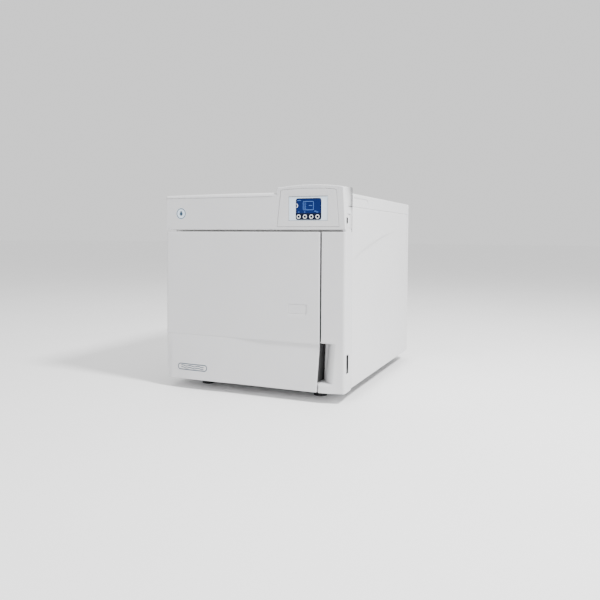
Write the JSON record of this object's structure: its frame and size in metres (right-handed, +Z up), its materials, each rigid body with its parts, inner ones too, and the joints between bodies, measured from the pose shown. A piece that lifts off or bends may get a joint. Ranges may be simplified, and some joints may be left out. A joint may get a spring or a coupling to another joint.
{
  "type": "benchtop autoclave",
  "caption": "Box-shaped steam autoclave with a side-hinged door, a display with keys, a steel chamber with trays, tanks and pumps.",
  "frame": {"origin": "on the floor, under the middle of the cabinet", "axes": "+X to the right seen from the front, +Y to the rear, +Z up"},
  "size_m": [0.48, 0.632, 0.5],
  "materials": {
    "white_enamel": "satin powder coat",
    "front_moulding": "fine satin moulding",
    "label": "semi-gloss membrane",
    "lcd": "gloss",
    "key_white": "gloss",
    "black_plastic": "satin",
    "rubber": "matt",
    "steel_zinc": "zinc plated",
    "stainless": "brushed stainless",
    "aluminium": "anodised",
    "brass": "satin",
    "silicone": "satin",
    "insulation": "woven glass sleeve",
    "tank_plastic": "translucent blow moulding",
    "pcb": "solder mask",
    "cast_grey": "painted casting",
    "filter_blue": "clear grey"
  },
  "bodies": {
    "cabinet": {"feet": "rubber", "foot_screws": "steel_zinc", "base_pan": "steel_zinc", "front_plate": "stainless", "left_side_panel": "white_enamel", "right_side_panel": "white_enamel", "top_cover": "white_enamel", "rear_panel": "white_enamel", "cover_screws": "steel_zinc", "front_fascia": "front_moulding", "front_pillar": "front_moulding", "control_face_plate": "front_moulding", "display_overlay": "label", "lcd_module": "lcd", "control_pcb": "pcb", "usb_socket": "black_plastic", "power_switch_housing": "black_plastic", "hinge_brackets": "cast_grey", "hinge_pins": "steel_zinc", "lock_actuator": "black_plastic", "chamber": "stainless", "chamber_bolts": "steel_zinc", "heater_bands": "aluminium", "insulation_jacket": "insulation", "safety_valve": "brass", "air_filter": "filter_blue", "tray_rack": "stainless", "water_tanks": "tank_plastic", "steam_generator": "stainless", "water_pump": "black_plastic", "vacuum_pump": "cast_grey", "condenser": "aluminium", "fan_frame": "black_plastic", "solenoid_valves": "brass", "pipes": "aluminium", "drain_fitting": "brass", "power_pcb": "pcb", "mains_inlet": "black_plastic", "tray_1": "aluminium", "tray_2": "aluminium", "tray_3": "aluminium", "tray_4": "aluminium", "tray_5": "aluminium"},
    "door": {"door_outer_shell": "front_moulding", "door_inner_cover": "stainless", "door_access_cap": "front_moulding", "door_frame": "cast_grey", "door_disc": "stainless", "door_gasket": "silicone", "door_adjusting_screw": "steel_zinc", "door_catch": "steel_zinc", "hinge_bushes": "brass"},
    "lock_bolt": {"lock_bolt": "steel_zinc"},
    "power_rocker": {"power_rocker": "black_plastic"},
    "fan_rotor": {"fan_rotor": "black_plastic"},
    "tank_lid": {"tank_lid": "white_enamel"},
    "key_1": {"key_1": "key_white"},
    "key_2": {"key_2": "key_white"},
    "key_3": {"key_3": "key_white"},
    "key_4": {"key_4": "key_white"}
  },
  "joints": [
    {"name": "door_hinge", "type": "hinge", "parent": "cabinet", "child": "door", "pos_m": [-0.221, -0.279, 0.208], "axis": [0, 0, -1], "range_deg": [0, 100]},
    {"name": "lock_bolt_slide", "type": "slide", "parent": "cabinet", "child": "lock_bolt", "axis": [-1, 0, 0], "range_m": [0, 0.016]},
    {"name": "rocker_tilt", "type": "hinge", "parent": "cabinet", "child": "power_rocker", "pos_m": [0.232, -0.2827, 0.09], "axis": [0, 1, 0], "range_deg": [0, 20]},
    {"name": "fan_spin", "type": "hinge", "parent": "cabinet", "child": "fan_rotor", "pos_m": [0.14, 0.284, 0.17], "axis": [0, 1, 0], "continuous": true},
    {"name": "tank_lid_hinge", "type": "hinge", "parent": "cabinet", "child": "tank_lid", "pos_m": [0, 0.287, 0.4877], "axis": [-1, 0, 0], "range_deg": [0, 100]},
    {"name": "key_1_press", "type": "slide", "parent": "cabinet", "child": "key_1", "axis": [0, 1, 0], "range_m": [0, 0.001], "stiffness_N_per_m": 600, "springref_m": -0.0008},
    {"name": "key_2_press", "type": "slide", "parent": "cabinet", "child": "key_2", "axis": [0, 1, 0], "range_m": [0, 0.001], "stiffness_N_per_m": 600, "springref_m": -0.0008},
    {"name": "key_3_press", "type": "slide", "parent": "cabinet", "child": "key_3", "axis": [0, 1, 0], "range_m": [0, 0.001], "stiffness_N_per_m": 600, "springref_m": -0.0008},
    {"name": "key_4_press", "type": "slide", "parent": "cabinet", "child": "key_4", "axis": [0, 1, 0], "range_m": [0, 0.001], "stiffness_N_per_m": 600, "springref_m": -0.0008}
  ]
}
